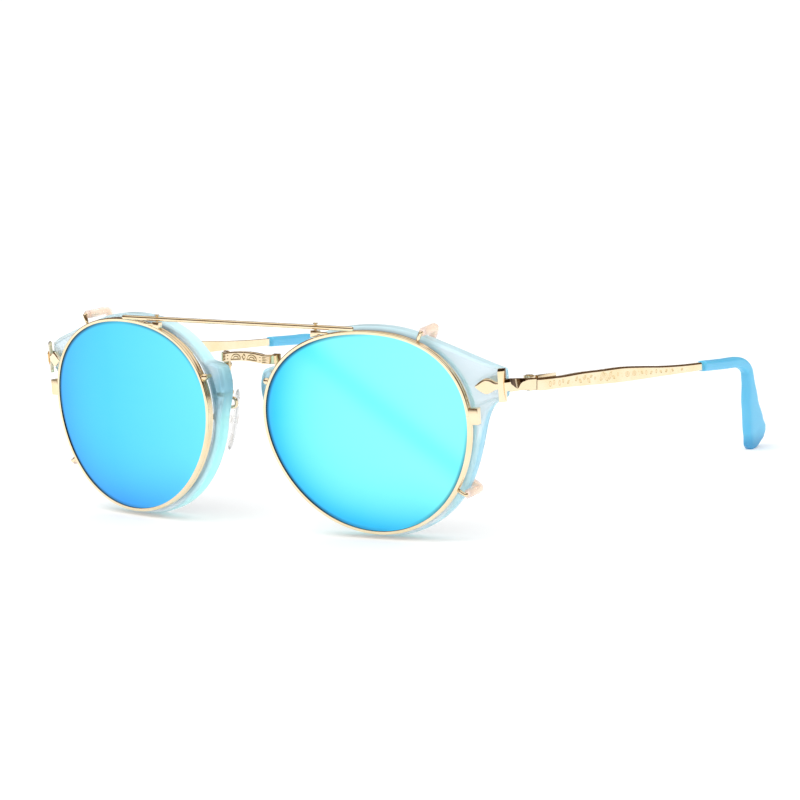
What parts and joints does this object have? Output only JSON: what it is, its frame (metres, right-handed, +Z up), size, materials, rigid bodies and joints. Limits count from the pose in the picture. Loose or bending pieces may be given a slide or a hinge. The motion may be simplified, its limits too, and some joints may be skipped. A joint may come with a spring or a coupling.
{
  "type": "sunglasses",
  "caption": "Round sunglasses with clear plastic rims, a metal bridge and folding temples, and a removable clip that carries flat mirrored lenses.",
  "frame": {"origin": "on the surface the glasses stand on, under the centre of their bounding box", "axes": "+X towards the wearer's left, +Y back towards the ears, +Z up; the glasses stand on their rims and tips"},
  "size_m": [0.1364, 0.1338, 0.0499],
  "materials": {
    "gold": "polished, pale champagne gold",
    "plastic": "clear pale aqua, polished",
    "clear_lens": "clear, polished",
    "mirror_lens": "aqua mirror coating",
    "tip_sleeve": "smooth sky blue",
    "silicone": "clear, satin",
    "vinyl": "clear, satin"
  },
  "bodies": {
    "front": {"bridge": "gold", "front_rim_left": "plastic", "clear_lens_left": "clear_lens", "bridge_screw_upper_left": "gold", "bridge_screw_lower_left": "gold", "pad_arm_left": "gold", "corner_plate_left": "gold", "hinge_front_leaf_left": "gold", "hinge_rivet_left": "gold", "front_rim_right": "plastic", "clear_lens_right": "clear_lens", "bridge_screw_upper_right": "gold", "bridge_screw_lower_right": "gold", "pad_arm_right": "gold", "corner_plate_right": "gold", "hinge_front_leaf_right": "gold", "hinge_rivet_right": "gold"},
    "clip": {"top_bar": "gold", "clip_rim_left": "gold", "mirror_lens_left": "mirror_lens", "closing_screw_left": "gold", "bar_block_left": "gold", "bar_screw_left": "gold", "claw_upper_left": "gold", "claw_lower_left": "gold", "claw_sleeve_upper_left": "vinyl", "claw_sleeve_lower_left": "vinyl", "nose_peg_left": "gold", "clip_rim_right": "gold", "mirror_lens_right": "mirror_lens", "closing_screw_right": "gold", "bar_block_right": "gold", "bar_screw_right": "gold", "claw_upper_right": "gold", "claw_lower_right": "gold", "claw_sleeve_upper_right": "vinyl", "claw_sleeve_lower_right": "vinyl", "nose_peg_right": "gold"},
    "temple_left": {"temple_arm_left": "gold", "hinge_rear_leaf_left": "gold", "hinge_screw_left": "gold", "tip_sleeve_left": "tip_sleeve"},
    "pad_left": {"nose_pad_left": "silicone", "pad_screw_left": "gold"},
    "temple_right": {"temple_arm_right": "gold", "hinge_rear_leaf_right": "gold", "hinge_screw_right": "gold", "tip_sleeve_right": "tip_sleeve"},
    "pad_right": {"nose_pad_right": "silicone", "pad_screw_right": "gold"}
  },
  "joints": [
    {"name": "temple_hinge_left", "type": "hinge", "parent": "front", "child": "temple_left", "pos_m": [0.06466, -0.04168, 0.03422], "axis": [0, 0.0864, 0.9963], "range_deg": [0, 90]},
    {"name": "pad_swivel_left", "type": "hinge", "parent": "front", "child": "pad_left", "pos_m": [0.01175, -0.05687, 0.02409], "axis": [0.6947, 0.7167, -0.0621], "range_deg": [-12, 12]},
    {"name": "temple_hinge_right", "type": "hinge", "parent": "front", "child": "temple_right", "pos_m": [-0.06466, -0.04168, 0.03422], "axis": [0, -0.0864, -0.9963], "range_deg": [0, 84]},
    {"name": "pad_swivel_right", "type": "hinge", "parent": "front", "child": "pad_right", "pos_m": [-0.01175, -0.05687, 0.02409], "axis": [-0.6947, 0.7167, -0.0621], "range_deg": [-12, 12]},
    {"name": "clip_off", "type": "slide", "parent": "front", "child": "clip", "axis": [0, -0.9963, 0.0864], "range_m": [0, 0.025], "deforming": ["claw_upper_left", "claw_lower_left", "claw_sleeve_upper_left", "claw_sleeve_lower_left", "claw_upper_right", "claw_lower_right", "claw_sleeve_upper_right", "claw_sleeve_lower_right"]}
  ]
}
